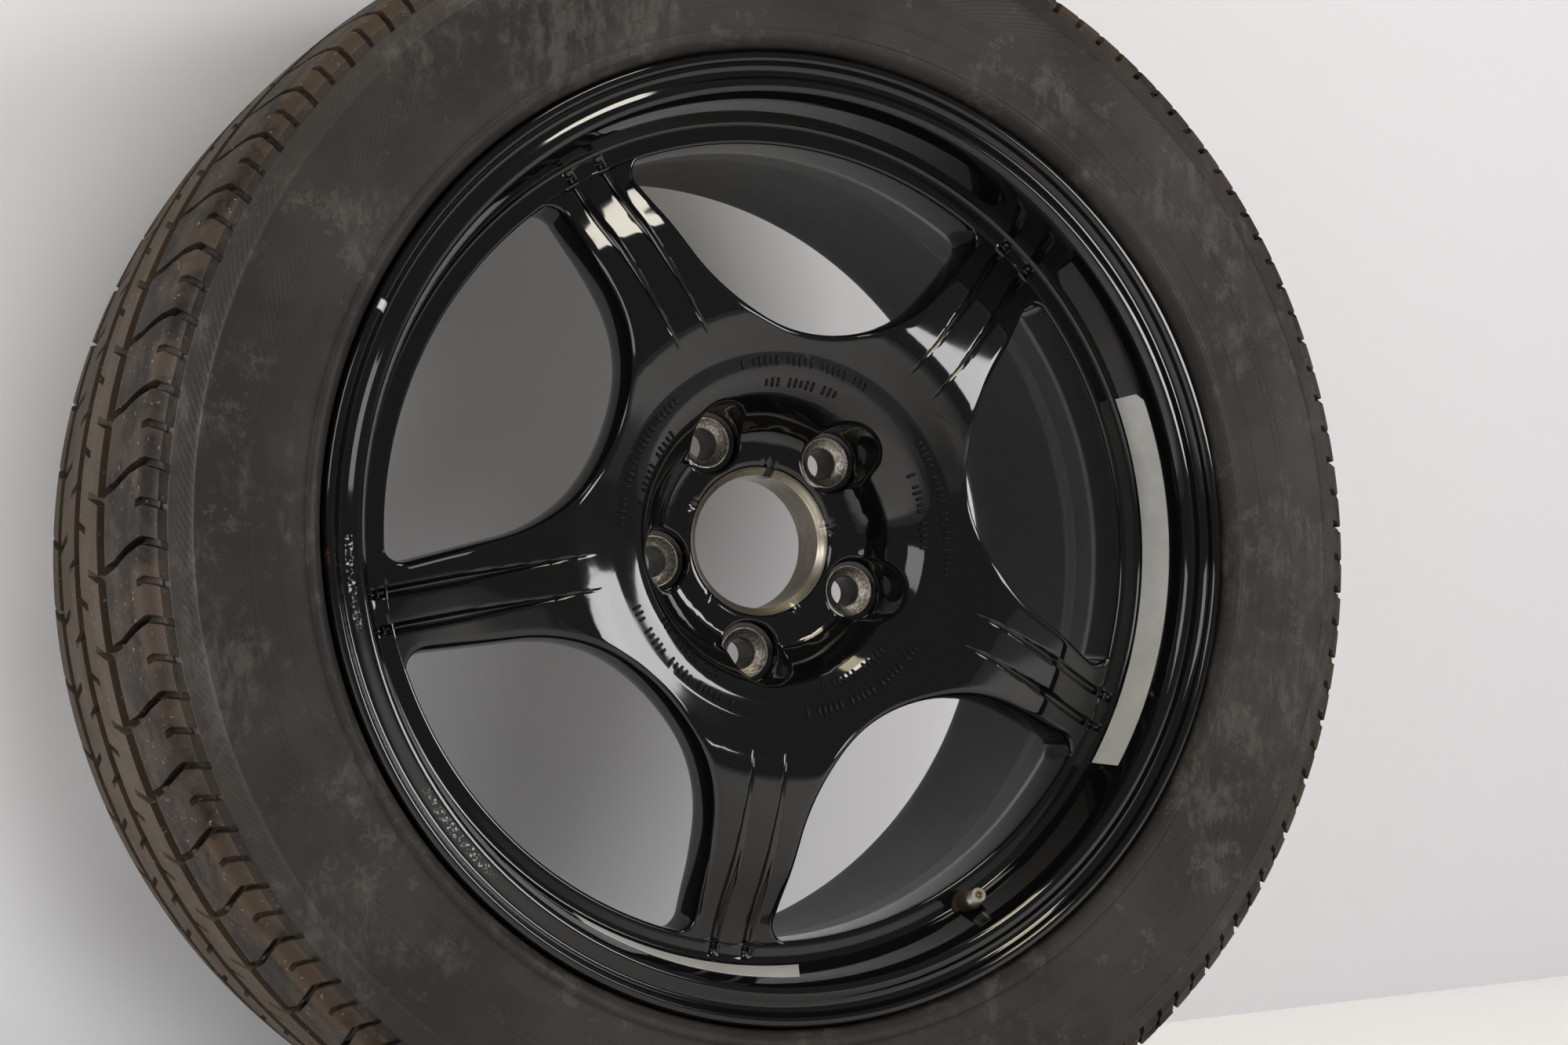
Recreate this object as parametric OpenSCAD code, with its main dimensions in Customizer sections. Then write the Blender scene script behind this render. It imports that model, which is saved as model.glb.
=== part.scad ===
// Spare wheel for a passenger car: cast five-spoke wheel, tyre, snap-in valve and two foil labels.
// Drawn in the wheel's own terms: r is the distance from its axis, z the distance outboard of its
// centre plane. stand() then turns the axis to Y, outboard face toward -Y, upright along Z.

/* [Rim] */
// Rim diameter at the bead seats
rim_d = 436.6; // [410:0.1:450]
// Rim width between the flanges
rim_w = 215.9; // [200:0.1:230]
// Flange height above the bead seats
flange_h = 17.3; // [16:0.1:18]
// Depth of the drop well below the bead seats
well_depth = 16.6; // [15:0.1:17.5]
// Wall of the drop well
barrel_t = 3.6; // [3:0.1:5]

/* [Hub] */
// Distance from the centre plane out to the mounting face
wheel_offset = 34; // [28:1:42]
// Centre bore diameter
centre_bore = 66.6; // [56:0.1:74]
// Bolt circle diameter
bolt_circle = 112; // [108:0.1:120]
// Bolt hole diameter
bolt_hole_d = 15; // [13:0.1:16]
// Radius of the ball seat for the bolt head
seat_ball_r = 14; // [13:0.5:15]
// Diameter of the open end of the bolt seat
seat_d = 24.4; // [23:0.2:26]
// Radius of the bolt pocket at its floor
pocket_r = 15.5; // [14.5:0.5:17]
// Thickness of metal under the bolt pockets
pocket_floor_t = 26; // [20:1:28]
// Radius of the mounting pad on the back
pad_r = 73; // [70:1:78]

/* [Spokes] */
// Direction of the first spoke, counter-clockwise from +X seen from outboard
first_spoke = 117.6; // [0:0.1:360]
// Half width of a spoke near the rim
spoke_half_w = 22.5; // [19:0.5:26]
// Angle by which each side of a spoke opens toward the hub
spoke_taper = 4.2; // [2:0.1:6]
// Thickness of a spoke
spoke_t = 27; // [22:1:30]
// Distance from the axis to the inner end of a window
window_hub_r = 102.4; // [98:0.1:108]
// Corner radius of a window at the rim
window_corner = 8; // [5:0.5:12]
// Width rounded off the front edge of a window
edge_round = 4.4; // [2:0.1:5]
// Spacing of the two flutes on a spoke
flute_gap = 17; // [14:0.5:20]
// Width of a flute at the rim
flute_w = 4.6; // [3:0.1:5]
// Depth of a flute at the rim
flute_depth = 2.6; // [1:0.1:3.5]

/* [Tyre] */
// Tyre outer diameter
tyre_d = 650; // [630:1:670]
// Tyre section width
tyre_w = 251; // [240:1:260]
// Width of the tread
tread_w = 212; // [196:1:220]
// Depth of the tread grooves
tread_depth = 7; // [4:0.5:8]
// Number of shoulder blocks around each side
tread_pitches = 64; // [48:1:68]

/* [Valve and labels] */
// Direction of the valve, counter-clockwise from +X
valve_angle = 298; // [285:0.5:310]
// Lean of the valve toward the axis
valve_tilt = 18; // [12:0.5:24]
// Length of the valve outside the rim
valve_reach = 22; // [18:0.5:26]
// Diameter of the valve hole
valve_hole_d = 11.5; // [11.3:0.1:11.7]
// Rim metal that the valve's neck grips
valve_grip_t = 5; // [4:0.5:6]
// Travel of the valve pin
pin_travel = 1.5; // [1:0.1:2]
// Thickness of the foil labels
label_t = 0.3; // [0.2:0.05:0.5]

/* [Hidden] */
$fn = 96;
spoke_n = 5;
spoke_step = 360 / spoke_n;

// Rim stations
seat_r = rim_d / 2;                       // bead seat radius at the flange
half_w = rim_w / 2;                       // flange face distance from the centre plane
tip_r = seat_r + flange_h;                // flange tip radius
curl_r = 9;                               // radius of the flange's tyre side
lip_z = half_w + 11.6;                    // outermost plane of the flange
heel_r = 6.5;                             // fillet between bead seat and flange
seat_len = 15.5;                          // bead seat length inside the heel fillet
toe_z = half_w - heel_r - seat_len;       // inner end of the bead seat
toe_r = seat_r - seat_len * tan(5);
hump_h = 1.2;                             // hump above the end of the bead seat
well_r = seat_r - well_depth;             // outside of the drop well
barrel_r = well_r - barrel_t;             // inside of the drop well
ledge_r = seat_r - 4.3;                   // outside of the long inboard ledge
ledge_t = 4.4;                            // its wall
well_z0 = 32.5;                           // inboard end of the drop well
well_z1 = 64;                             // outboard end of the drop well

// Front face stations
wall_front = [seat_r - 5.4, half_w - 1.9];  // front corner of the label wall
wall_foot = [seat_r - 9.7, half_w - 24.5];  // foot of the label wall
ring_z = half_w - 26;                       // front of the ring that joins spokes and rim
pocket_z = wheel_offset + pocket_floor_t;   // floor of the bolt pockets
pad_z = pocket_z + 6.8;                     // front of the hub pad
shelf_z = pocket_z + 39.6;                  // raised band around the hub
bore_r = centre_bore / 2;
bolt_r = bolt_circle / 2;
window_r = barrel_r - 1.1;                  // rim side of the windows
band_r = window_hub_r - 11.1;               // raised band around the hub
dish_foot = bolt_r + 10;                    // inner end of the slope up to the band
slope = (band_r - dish_foot) / 25.3;        // how far that slope is stretched or squeezed
back_slope = (band_r - pad_r - 3) / 15.3;   // and the slope behind it
bore_round = 3.4;                           // chamfer at the mouth of the centre bore
back_r = [for (r = [window_hub_r - 2:12:window_r - 16]) r];  // radii that shape the back

// Points of a circular arc, a smooth curve through chosen points, and mirrored or reversed points
function arc(c, r, a0, a1, n) =
    [for (i = [0:n]) c + r * [cos(a0 + (a1 - a0) * i / n), sin(a0 + (a1 - a0) * i / n)]];
function blend(p, i, t) = let (
    a = p[max(i - 1, 0)], b = p[i], c = p[i + 1], d = p[min(i + 2, len(p) - 1)])
    0.5 * (2 * b + (c - a) * t + (2 * a - 5 * b + 4 * c - d) * t * t
           + (3 * b - 3 * c + d - a) * t * t * t);
function curve(p, n) =
    concat([for (i = [0:len(p) - 2]) for (k = [0:n - 1]) blend(p, i, k / n)], [p[len(p) - 1]]);
function reverse(p) = [for (i = [len(p) - 1:-1:0]) p[i]];
function inboard(p) = [for (q = reverse(p)) [q[0], -q[1]]];

// Dish from the hub pad up to the raised band, as [r, z]
dish = curve([[bolt_r - 5, pad_z], [bolt_r - 1.5, pad_z + 2], [bolt_r + 2, pad_z + 7.4],
              [bolt_r + 5, pad_z + 12.8], [dish_foot, shelf_z - 13.6],
              [dish_foot + 4 * slope, shelf_z - 8.6], [dish_foot + 8.5 * slope, shelf_z - 4.4],
              [dish_foot + 15 * slope, shelf_z - 1.3], [band_r, shelf_z + 0.4]], 3);

// Crown of the spokes from the raised band out to the ring, as [r, z]
dome = curve([[band_r, shelf_z + 0.4], [window_hub_r - 2, shelf_z + 3.2],
              [window_hub_r + 9, shelf_z + 6.8], [window_hub_r + 22, shelf_z + 6.6],
              [window_hub_r + 42, shelf_z + 2.8], [window_r - 35, ring_z + 15.2],
              [window_r - 20, ring_z + 7.6], [window_r - 8, ring_z + 2.4],
              [barrel_r, ring_z]], 3);
function dome_z(r) = lookup(r, dome);

// Part frame: the wheel's axis lies along Y and its outboard face looks toward -Y
module stand() { rotate([90, 0, 0]) children(); }

// Repeats its child at each spoke
module at_spokes() {
    for (i = [0:spoke_n - 1]) rotate([0, 0, first_spoke + i * spoke_step]) children();
}

// Tyre side of one flange and its bead seat, outboard, from the tip to the hump
function flange_side() = concat(
    arc([tip_r - curl_r, half_w + curl_r], curl_r, 0, -90, 5),
    arc([seat_r + heel_r, half_w - heel_r], heel_r, 90, 180, 4),
    [[toe_r, toe_z]]);
function bead_side() = concat(flange_side(), [[toe_r + hump_h, toe_z - 2.4],
    [toe_r + hump_h, toe_z - 4.2], [toe_r - 1.2, toe_z - 7]]);

// Tyre side of the whole rim, from the outboard tip to the inboard one
function tyre_side() = concat(
    bead_side(),
    [[well_r + 1.3, well_z1 + 3], [well_r, well_z1], [well_r, well_z0 + 2],
     [well_r + 1.2, well_z0 - 1], [ledge_r - 1, well_z0 - 24], [ledge_r, well_z0 - 30]],
    inboard(bead_side()));

// Visible side of the outboard lip, from its tip in to the ring
function lip_side() = concat(
    arc([tip_r - 2, lip_z - 2], 2, 0, 90, 3),
    [[tip_r - 4.4, lip_z]],
    arc([tip_r - 5.2, lip_z - 1.2], 0.9, 60, 180, 2),
    arc([tip_r - 10.8, lip_z + 0.2], 6.2, 315, 250, 4),
    arc([tip_r - 16.4, lip_z - 9.4], 3.2, 80, 150, 3),
    [wall_front, wall_foot],
    arc([wall_foot[0] - 2.6, ring_z + 2.6], 2.6, 330, 270, 2));

// Inside of the barrel, from the spokes back to the inboard tip
function barrel_side() = concat(
    [[barrel_r, well_z0], [barrel_r + 1.1, well_z0 - 1.2],
     [ledge_r - ledge_t - 1.2, well_z0 - 27], [ledge_r - ledge_t, well_z0 - 33],
     [ledge_r - ledge_t + 0.6, -toe_z]],
    arc([ledge_r - ledge_t + 16.6, -toe_z - 12.5], 16, 180, 255, 5),
    [[tip_r - 7.5, 4 - lip_z], [tip_r - 4.5, -lip_z]],
    arc([tip_r - 2, 2 - lip_z], 2, 270, 360, 3));

module rim_section() {
    polygon(concat(tyre_side(), reverse(barrel_side()), [[barrel_r, ring_z]],
                   reverse(lip_side())));
}

// Hub and spokes as one turned shape, before the windows are opened
module disc_section() {
    front = concat(
        [[bore_r, pocket_z + 0.6]],
        arc([bore_r + bore_round + 3, pad_z - 3], 3, 172, 90, 3),
        [for (i = [0:len(dish) - 2]) dish[i]]);
    polygon(concat(
        front, dome,
        [[barrel_r + 2, ring_z - 2], [barrel_r + 2, ring_z - 28], [barrel_r, ring_z - 30],
         [window_r - 8, ring_z - 26]],
        reverse([for (r = back_r) [r, dome_z(r) - spoke_t]]),
        [[pad_r + 3 + 9 * back_slope, pocket_z + 8], [pad_r + 3, wheel_offset + 3],
         [pad_r, wheel_offset], [bore_r, wheel_offset]]));
}

// Window between two spokes: a round end at the hub, straight sides, round corners at the rim.
// grow pushes the outline out, by a third as much on the rim side as elsewhere.
half_step = spoke_step / 2;
side_a = -(half_step + spoke_taper);        // direction of the outward normal of a side
side_n = [cos(side_a), sin(side_a)];
side_t = [-side_n[1], side_n[0]];
side_p = (window_r - 14) * [sin(half_step), cos(half_step)]
         + spoke_half_w * [-cos(half_step), sin(half_step)];
hub_round = (side_p * side_n - window_hub_r * side_n[1]) / (1 + side_n[1]);
hub_c = [0, window_hub_r + hub_round];
corner_q = side_p - window_corner * side_n;
corner_b = corner_q * side_t;
corner_k = -corner_b + sqrt(corner_b ^ 2 - corner_q * corner_q + (window_r - window_corner) ^ 2);
corner_c = corner_q + corner_k * side_t;
corner_a = atan2(corner_c[1], corner_c[0]);
hub_end = hub_c + hub_round * side_n;
rim_grow = 0.35;
function window_half(grow) = concat(
    arc(hub_c, hub_round + grow, 270, 360 + side_a, 11),
    [for (t = [0.25:0.25:0.75]) hub_end + t * (corner_c + window_corner * side_n - hub_end)
                                + grow * side_n],
    [for (i = [0:5]) let (a = side_a + (corner_a - side_a) * i / 5)
        corner_c + (window_corner + grow * (1 - (1 - rim_grow) * i / 5)) * [cos(a), sin(a)]],
    [for (i = [1:8]) let (a = corner_a + (90 - corner_a) * i / 9)
        (window_r + rim_grow * grow) * [cos(a), sin(a)]]);
function window_outline(grow) = concat(
    window_half(grow), [[0, window_r + rim_grow * grow]],
    reverse([for (i = [1:len(window_half(grow)) - 1]) let (q = window_half(grow)[i])
        [-q[0], q[1]]]));

// One closed skin through rings of equal length, joined by triangles
module loft(rings) {
    n = len(rings[0]);
    m = len(rings);
    polyhedron(
        points = [for (ring = rings) each ring],
        faces = concat(
            [[for (i = [0:n - 1]) i]],
            [for (k = [0:m - 2]) for (i = [0:n - 1]) let (j = (i + 1) % n)
                each [[k * n + i, (k + 1) * n + i, (k + 1) * n + j],
                      [k * n + i, (k + 1) * n + j, k * n + j]]],
            [[for (i = [n - 1:-1:0]) (m - 1) * n + i]]));
}
function window_ring(grow, depth) =
    [for (q = window_outline(grow)) [q[0], q[1], dome_z(norm(q)) - depth]];
function flat_ring(grow, z) = [for (q = window_outline(grow)) [q[0], q[1], z]];
module window_cutter() {
    rotate([0, 0, half_step - 90]) loft([
        flat_ring(0.3 * edge_round, 0),
        window_ring(0.3 * edge_round, spoke_t + 12),
        window_ring(0, spoke_t * 0.58),
        window_ring(0.3 * edge_round, 3.2),
        window_ring(0.55 * edge_round, 1),
        window_ring(1.1 * edge_round, -0.15),
        flat_ring(1.1 * edge_round, lip_z + 10)]);
}

// Flute in a spoke's face: a V that narrows and runs out toward the hub
module flute_cutter() {
    r0 = window_hub_r + 3;
    r1 = wall_foot[0] - 2;
    steps = 9;
    loft([for (i = [0:steps]) let (
            r = r0 + (r1 - r0) * i / steps, full = min(1, 0.12 + 1.5 * i / steps),
            w = flute_w * full / 2, z = r > barrel_r ? ring_z : dome_z(r))
        [[r, w, z + 0.05], [r, w, z + 6], [r, -w, z + 6], [r, -w, z + 0.05],
         [r, -w * 0.25, z - flute_depth * full], [r, w * 0.25, z - flute_depth * full]]]);
}

// Hollow in the back of a spoke
module spoke_core() {
    rs = [for (r = [window_hub_r + 6:10:window_r - 12]) r];
    rotate([90, 0, 0]) linear_extrude(height = spoke_half_w, center = true)
        polygon(concat([for (r = rs) [r, dome_z(r) - 9]],
                       reverse([for (r = rs) [r, dome_z(r) - spoke_t - 14]])));
}

// Bolt hole with its ball seat, and the tapered pocket above it, whose edge on the pad is rounded
pocket_taper = 1.2;                       // how much the pocket opens up to its rim
pad_edge = 1.5;                           // rounding of the pocket's edge on the pad
rim_edge = 3;                             // rounding of its rim on the dish
module bolt_cutter() {
    ball_z = pocket_z + sqrt(seat_ball_r ^ 2 - (seat_d / 2) ^ 2);
    top_r = pocket_r + pocket_taper;
    rim_z = shelf_z - 5.8;
    translate([bolt_r, 0, 0]) {
        translate([0, 0, wheel_offset - 1]) cylinder(d = bolt_hole_d, h = pocket_floor_t);
        translate([0, 0, ball_z]) sphere(r = seat_ball_r);
        rotate_extrude() polygon(concat(
            [[0, pocket_z], [pocket_r - 1, pocket_z], [pocket_r, pocket_z + 1]],
            arc([top_r + rim_edge, rim_z - rim_edge], rim_edge, 180, 100, 4),
            [[top_r + 1.5 * rim_edge, shelf_z + 9], [0, shelf_z + 9]]));
    }
    intersection() {
        translate([0, 0, pad_z - pad_edge]) cylinder(r = bolt_r - 3, h = 3 * pad_edge);
        translate([bolt_r, 0, 0]) rotate_extrude() polygon(concat(
            [[0, pad_z - pad_edge]],
            arc([pocket_r + 0.3 + pad_edge, pad_z + 0.1 - pad_edge], pad_edge, 180, 90, 3),
            [[pocket_r + 0.3 + pad_edge, pad_z + 2], [0, pad_z + 2]]));
    }
}

// Valve frame: origin where its axis leaves the rim, Z along its axis and out
valve_r = wall_foot[0] + 0.4;
valve_z = wall_foot[1] + 0.6;
module at_valve() {
    rotate([0, 0, valve_angle]) translate([valve_r, 0, valve_z]) rotate([0, -valve_tilt, 0])
        children();
}
valve_face = -1.5;                        // spot face that the valve's shoulder sits on
valve_shoulder_r = 7.2;
valve_head_r = 8.6;
module valve_cutter() {
    at_valve() {
        translate([0, 0, -30]) cylinder(d = valve_hole_d, h = 40);
        translate([0, 0, valve_face]) cylinder(r = valve_shoulder_r + 0.6, h = 20);
        translate([0, 0, valve_face - valve_grip_t - 14]) cylinder(r = valve_head_r + 0.6, h = 14);
    }
}

module wheel_casting() {
    color("#1b1b1e") stand() difference() {
        rotate_extrude() {
            rim_section();
            disc_section();
        }
        at_spokes() {
            window_cutter();
            spoke_core();
            bolt_cutter();
            for (side = [-1, 1]) translate([0, side * flute_gap / 2, 0]) flute_cutter();
        }
        translate([0, 0, wheel_offset - 1])
            cylinder(r1 = bore_r + 4, r2 = bore_r, h = 4.5);
        valve_cutter();
    }
}

// Tyre: outer shape of one half from the flange to the crown, as [r, z]
tyre_r = tyre_d / 2;
tread_h = tread_w / 2;
belly_z = tyre_w / 2;
edge_r = tyre_r - 6.5;                    // radius at the edge of the tread
side_h = tyre_r - tip_r;                  // height of the tyre above the flange
rubber_gap = 0.4;                         // clearance of the bead past the flange's curl
function sidewall() = concat(
    [[tip_r + rubber_gap, half_w + curl_r - 4.2], [tip_r + 1.1, half_w + curl_r + 0.8]],
    curve([[tip_r + 3.6, lip_z + 2.6], [tip_r + 6.4, belly_z - 1.6],
           [tip_r + 9.4, belly_z - 1.6]], 2),
    [[tip_r + 10, belly_z - 2.8]],
    curve([[tip_r + 11, belly_z - 2.9], [tip_r + 0.28 * side_h, belly_z - 0.9],
           [tip_r + 0.48 * side_h, belly_z], [tip_r + 0.65 * side_h, belly_z - 2],
           [tip_r + 0.77 * side_h, belly_z - 7.5],
           [edge_r - 7, tread_h + 9], [edge_r - 2.5, tread_h + 3.5], [edge_r, tread_h]], 3),
    [[tyre_r - 4.2, tread_h * 0.88], [tyre_r - 2, tread_h * 0.66],
     [tyre_r - 0.5, tread_h * 0.36]]);
// Bead outline against the rim, and the half of the air chamber
function bead_foot() = [for (q = flange_side()) if (q[1] < half_w + curl_r - 4) q];
function chamber() = concat(
    [[toe_r + 4, toe_z + 0.4], [toe_r + 14, half_w - 17]],
    curve([[tip_r + 4, half_w - 4], [tip_r + 0.27 * side_h, belly_z - 9],
           [tip_r + 0.51 * side_h, belly_z - 8.4], [tip_r + 0.72 * side_h, belly_z - 17],
           [tyre_r - 19, tread_h - 8], [tyre_r - 15, tread_h - 28], [tyre_r - 13.5, 0]], 2));

groove_z = 55.5;                          // distance of the outer grooves from the centre
groove_w = 15;
module tyre_section() {
    half = concat(reverse(bead_foot()), sidewall());
    hollow = chamber();
    polygon(concat(half, inboard(half), inboard(reverse(hollow)),
                   [for (i = [len(hollow) - 2:-1:0]) hollow[i]]));
}

// Angle of a shoulder slot: the pitches vary around the tyre, as a quiet tread's do
pitch_start = 219.4;
pitch_waves = 4;
function pitch_a(i) =
    pitch_start + (i + 0.345 * sin(i * 360 * pitch_waves / tread_pitches + 166))
    * 360 / tread_pitches;

// Slot from the outer groove over the shoulder: slanted on the tread, then bent back
slot_w = 3.6;
slot_bend = tread_h + 3;                  // where the slot bends, just past the tread's edge
module shoulder_slot() {
    lead = 2.2 + tread_depth * 0.9;
    inner_z = groove_z + groove_w / 2 - 2;
    slant = 11;
    translate([tyre_r - lead, (slot_bend - inner_z) * tan(slant), inner_z])
        rotate([slant, -7.6, 0]) translate([0, -slot_w / 2, 0])
            cube([20, slot_w, (slot_bend - inner_z) / cos(slant)]);
    translate([tyre_r - lead - 6.2, 0, slot_bend]) rotate([-24, -30, 0])
        translate([0, -slot_w / 2, -2]) cube([16, slot_w, 15]);
}

module tyre() {
    color("#3c3a38") stand() difference() {
        rotate_extrude() difference() {
            tyre_section();
            for (z = [-groove_z, 0, groove_z])
                translate([tyre_r - tread_depth - (z == 0 ? 0 : 1.2), z - groove_w / 2])
                    square([20, groove_w]);
        }
        for (i = [0:tread_pitches - 1]) {
            rotate([0, 0, pitch_a(i)]) shoulder_slot();
            rotate([0, 0, pitch_a(i + 0.5)]) mirror([0, 0, 1]) shoulder_slot();
        }
    }
}

// Valve stations along its own axis
stem_r = 3;
thread_r = 3.85;
thread_z = 13;                            // foot of the thread
thread_pitch = 0.9;
core_bore_r = 2.1;                        // bore of the stem
core_z0 = 7;                              // inner end of the core
spring_z = 13.5;                          // ledge that the spring stands on
spring_closed = 4.2;                      // length of the spring with the pin pressed in
pin_r = 0.65;
pin_fit = 0.07;                           // running clearance of the pin in the core
collar_z = spring_z + spring_closed + pin_travel;  // underside of the pin's collar
core_z1 = collar_z + 1.4;                 // outer end of the core
cup_t = 1.8;
stem_z0 = valve_face - valve_grip_t - 4;

module valve_rubber() {
    neck_z = valve_face - valve_grip_t;
    color("#2a2420") stand() at_valve() rotate_extrude() polygon([
        [stem_r, neck_z - 4], [valve_head_r - 2.4, neck_z - 4],
        [valve_head_r, neck_z - 1.6], [valve_head_r, neck_z], [valve_hole_d / 2, neck_z],
        [valve_hole_d / 2, valve_face], [valve_shoulder_r, valve_face],
        [valve_shoulder_r, valve_face + 2.2], [valve_shoulder_r - 1.2, valve_face + 4],
        [stem_r + 2.1, thread_z - 5], [stem_r + 1.7, thread_z - 0.8],
        [stem_r + 1, thread_z], [stem_r, thread_z]]);
}

module valve_stem() {
    n = floor((valve_reach - thread_z - 1) / thread_pitch);
    thread = [for (i = [0:n - 1]) let (z = thread_z + 0.6 + i * thread_pitch)
        each [[thread_r, z], [thread_r - 0.4, z + thread_pitch / 2]]];
    color("#c9c6be") stand() at_valve() rotate_extrude() polygon(concat(
        [[core_bore_r, stem_z0], [stem_r, stem_z0], [stem_r, thread_z],
         [thread_r, thread_z]],
        thread,
        [[thread_r, valve_reach - 0.4], [thread_r - 0.4, valve_reach],
         [core_bore_r, valve_reach]]));
}

module valve_core() {
    color("#b08d4a") stand() at_valve() rotate_extrude() polygon([
        [pin_r + pin_fit, core_z0], [core_bore_r - 0.5, core_z0],
        [core_bore_r - 0.5, spring_z], [core_bore_r, spring_z + 0.5],
        [core_bore_r, core_z1], [core_bore_r - 0.65, core_z1],
        [core_bore_r - 0.65, spring_z], [pin_r + pin_fit, spring_z]]);
}

module valve_seal() {
    color("#8a2f24") stand() at_valve() translate([0, 0, core_z0 + 3])
        difference() {
            cylinder(r = core_bore_r, h = 2);
            translate([0, 0, -1]) cylinder(r = core_bore_r - 0.5, h = 4);
        }
}

module valve_pin() {
    color("#c8a860") stand() at_valve() rotate_extrude() polygon([
        [0, core_z0 - cup_t], [1.1, core_z0 - cup_t], [1.45, core_z0 - cup_t + 0.4],
        [1.45, core_z0], [pin_r, core_z0], [pin_r, collar_z], [1.2, collar_z],
        [1.2, collar_z + 0.8], [pin_r, collar_z + 0.8], [pin_r, valve_reach - 0.6],
        [pin_r - 0.2, valve_reach - 0.4], [0, valve_reach - 0.4]]);
}

module valve_spring() {
    turns = 6;
    per_turn = 14;
    wire_r = 0.16;
    coil_r = 0.97;
    z0 = spring_z + wire_r;
    z1 = collar_z - wire_r;
    color("#a8a8a8") stand() at_valve() loft([for (i = [turns * per_turn:-1:0]) let (
            a = 360 * i / per_turn, z = z0 + (z1 - z0) * i / (turns * per_turn))
        [for (k = [0:5]) let (b = 60 * k, r = coil_r + wire_r * cos(b))
            [r * cos(a), r * sin(a), z + wire_r * sin(b)]]]);
}

// Ends of the foil labels, as directions counter-clockwise from +X
right_from = -33.8;
right_to = 20.3;
lower_from = 238;
lower_to = 271.4;
right_snip = 6;                           // corner cut off the last end of each label
lower_snip = 1;
label_inset = 1.4;                        // bare wall beside a label, behind it and in front
label_cut = 50;                           // size of the blocks that trim its ends

// Foil label on the wall behind the lip, from one angle to another.
// lean0 and lean1 slant its ends, and snip cuts the front corner of its last end.
glue_t = 0.12;
module label(from, to, lean0, lean1, snip) {
    across = (wall_front - wall_foot) / norm(wall_front - wall_foot);
    inward = [-across[1], across[0]];
    low = wall_foot + label_inset * across + glue_t * inward;
    high = wall_front - label_inset * across + glue_t * inward;
    difference() {
        rotate([0, 0, from]) rotate_extrude(angle = to - from)
            polygon([low, high, high + label_t * inward, low + label_t * inward]);
        for (end = [[from, lean0, -1], [to, lean1, 0]])
            rotate([0, 0, end[0]]) translate([low[0], 0, low[1]]) rotate([end[1], 0, 0])
                translate(label_cut * [-0.2, end[2], -0.2]) cube(label_cut);
        rotate([0, 0, to]) translate([high[0], 0, high[1]]) rotate([45, 0, 0])
            cube([label_cut, snip, snip], center = true);
    }
}
module label_right() { color("#e6e4dc") stand() label(right_from, right_to, -2, 1, right_snip); }
module label_lower() { color("#e6e4dc") stand() label(lower_from, lower_to, 0, 23, lower_snip); }

wheel_casting();
tyre();
valve_rubber();
valve_stem();
valve_core();
valve_seal();
valve_pin();
valve_spring();
label_right();
label_lower();
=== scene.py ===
"""Looks of the spare wheel: finishes, the detailed tyre, the studio and the camera."""

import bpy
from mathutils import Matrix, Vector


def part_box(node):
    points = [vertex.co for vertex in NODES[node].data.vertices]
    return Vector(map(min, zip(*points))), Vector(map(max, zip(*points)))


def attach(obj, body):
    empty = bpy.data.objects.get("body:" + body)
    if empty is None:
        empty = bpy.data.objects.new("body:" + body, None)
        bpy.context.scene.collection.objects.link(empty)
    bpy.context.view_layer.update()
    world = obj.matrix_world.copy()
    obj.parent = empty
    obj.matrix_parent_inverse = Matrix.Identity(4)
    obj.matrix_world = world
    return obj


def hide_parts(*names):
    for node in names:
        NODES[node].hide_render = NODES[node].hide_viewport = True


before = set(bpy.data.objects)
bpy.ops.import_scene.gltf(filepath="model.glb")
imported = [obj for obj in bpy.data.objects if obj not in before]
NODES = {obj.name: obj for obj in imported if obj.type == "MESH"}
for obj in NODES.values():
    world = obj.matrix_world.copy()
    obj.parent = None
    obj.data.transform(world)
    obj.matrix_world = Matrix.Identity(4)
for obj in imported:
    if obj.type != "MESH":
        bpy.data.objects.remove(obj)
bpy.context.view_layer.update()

import math

import bmesh
import bpy
import numpy as np
from mathutils import Matrix, Vector

MM = 0.001
WELD = 0.02 * MM
# Edges that bend by more than this many degrees stay sharp
CREASE = 32

# Driving sizes, from the frame, in metres
TYRE_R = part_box("tyre")[1].x
TYRE_HALF_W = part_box("tyre")[1].y
RIM_TIP_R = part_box("wheel_casting")[1].x
LIP_Z = -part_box("wheel_casting")[0].y
FLOOR_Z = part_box("tyre")[0].z


# Camera, fitted to the photograph, which is 2000 by 1333 pixels

CAMERA_AT = (-0.5551, -1.3559, -0.0886)
CAMERA_RIGHT = (0.91564, -0.40086, -0.03040)
CAMERA_FORWARD = (0.40201, 0.91301, 0.06925)
CAMERA_LENS = 64.8
SENSOR_W = 36


def add_camera():
    data = bpy.data.cameras.new("camera")
    data.lens = CAMERA_LENS
    data.sensor_width = SENSOR_W
    data.sensor_fit = "HORIZONTAL"
    camera = bpy.data.objects.new("camera", data)
    right = Vector(CAMERA_RIGHT).normalized()
    back = -Vector(CAMERA_FORWARD).normalized()
    up = back.cross(right).normalized()
    right = up.cross(back)
    turn = Matrix((right, up, back)).transposed()
    camera.matrix_world = Matrix.Translation(CAMERA_AT) @ turn.to_4x4()
    bpy.context.scene.collection.objects.link(camera)
    bpy.context.scene.camera = camera


# Studio: pale floor, pale wall behind, soft lamps and a dim even world

WALL_GAP = 0.25
WALL_TURN = math.radians(11.3)
WALL_LEAN = math.radians(19)
WALL_LEFT = 0.75
WALL_H = 1.0
FLOOR_COLOUR = (0.80, 0.79, 0.78, 1)
WALL_COLOUR = (0.82, 0.82, 0.84, 1)
WORLD_LEVEL = 0.18
STAGE_REACH = 6
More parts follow.
